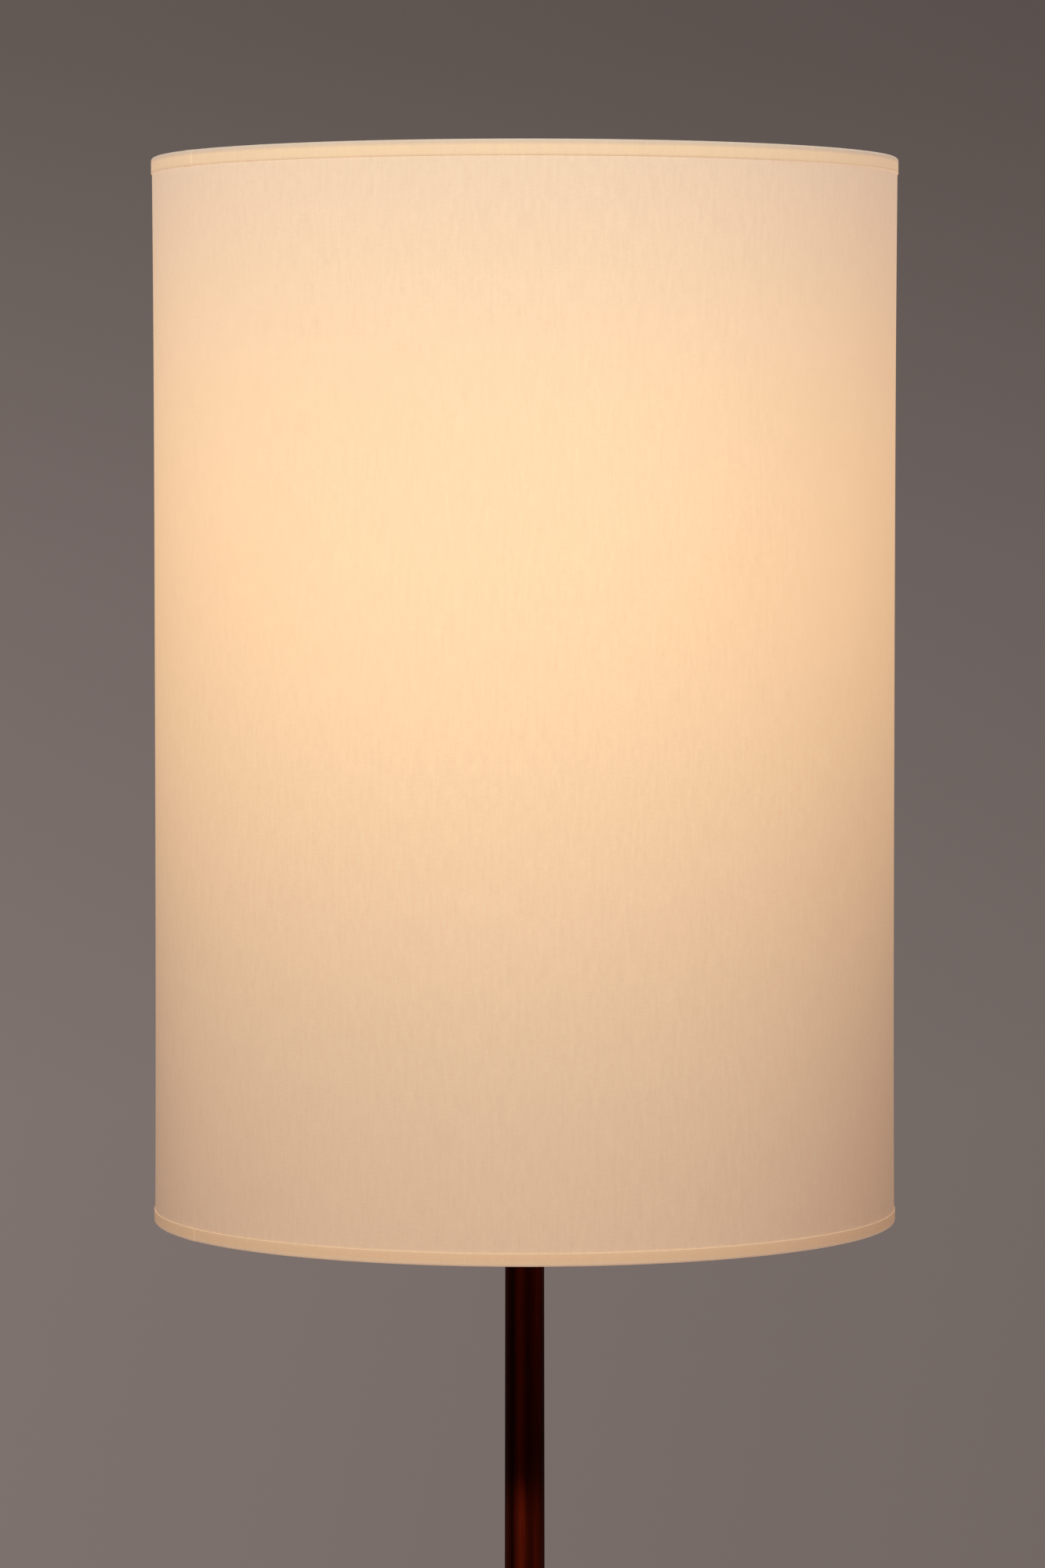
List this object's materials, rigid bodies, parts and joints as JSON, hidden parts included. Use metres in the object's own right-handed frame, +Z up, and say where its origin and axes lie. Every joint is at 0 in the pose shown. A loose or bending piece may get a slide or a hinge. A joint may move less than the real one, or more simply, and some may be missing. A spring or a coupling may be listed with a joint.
{
  "type": "floor lamp",
  "caption": "Slim turned wooden floor lamp on a round weighted base, with a tall fabric drum shade on a harp and a keyed lampholder.",
  "frame": {"origin": "on the floor, under the column's axis", "axes": "+Z up along the column, -Y to the front with the switch key, +Y to the back with the cord's inlet"},
  "size_m": [0.4208, 0.4208, 1.45],
  "materials": {
    "teak": "varnished, satin",
    "felt": "pressed felt",
    "iron": "as cast, lacquered",
    "rubber": "matt",
    "steel": "zinc plated",
    "brass": "satin",
    "bakelite": "moulded, dark brown",
    "porcelain": "glazed",
    "opal_glass": "opal, frosted",
    "cap_metal": "satin",
    "white_wire": "powder coated",
    "shade_cloth": "fine plain weave, laminated",
    "hem_cloth": "woven tape"
  },
  "bodies": {
    "lamp": {"felt_pad": "felt", "base_weight": "iron", "base_disc": "teak", "cord_bush": "rubber", "tie_tube": "steel", "tube_nuts": "steel", "tube_plates": "steel", "column": "teak", "holder_cap": "bakelite", "holder_skirt": "bakelite", "contact_insert": "porcelain", "centre_contact": "brass", "harp_saddle": "brass", "harp_loop": "brass", "harp_stud": "brass"},
    "key": {"key_spindle": "brass", "key_paddle": "bakelite"},
    "bulb": {"bulb_glass": "opal_glass", "bulb_cap": "cap_metal"},
    "left_sleeve": {"harp_sleeve_left": "brass"},
    "right_sleeve": {"harp_sleeve_right": "brass"},
    "knob": {"finial": "brass"},
    "shade": {"shade_skin": "shade_cloth", "shade_rings": "white_wire", "hem_tapes": "hem_cloth", "spider": "white_wire"}
  },
  "joints": [
    {"name": "key_turn", "type": "hinge", "parent": "lamp", "child": "key", "pos_m": [0, 0, 1.18], "axis": [0, -1, 0], "continuous": true},
    {"name": "bulb_lift", "type": "slide", "parent": "lamp", "child": "bulb", "axis": [0, 0, 1], "range_m": [0, 0.03]},
    {"name": "left_sleeve_slide", "type": "slide", "parent": "lamp", "child": "left_sleeve", "axis": [0, 0, 1], "range_m": [0, 0.012]},
    {"name": "right_sleeve_slide", "type": "slide", "parent": "lamp", "child": "right_sleeve", "axis": [0, 0, 1], "range_m": [0, 0.012]},
    {"name": "knob_turn", "type": "hinge", "parent": "lamp", "child": "knob", "pos_m": [0, 0, 1.424], "axis": [0, 0, 1], "continuous": true},
    {"name": "shade_turn", "type": "hinge", "parent": "lamp", "child": "shade", "pos_m": [0, 0, 1.424], "axis": [0, 0, 1], "continuous": true}
  ]
}
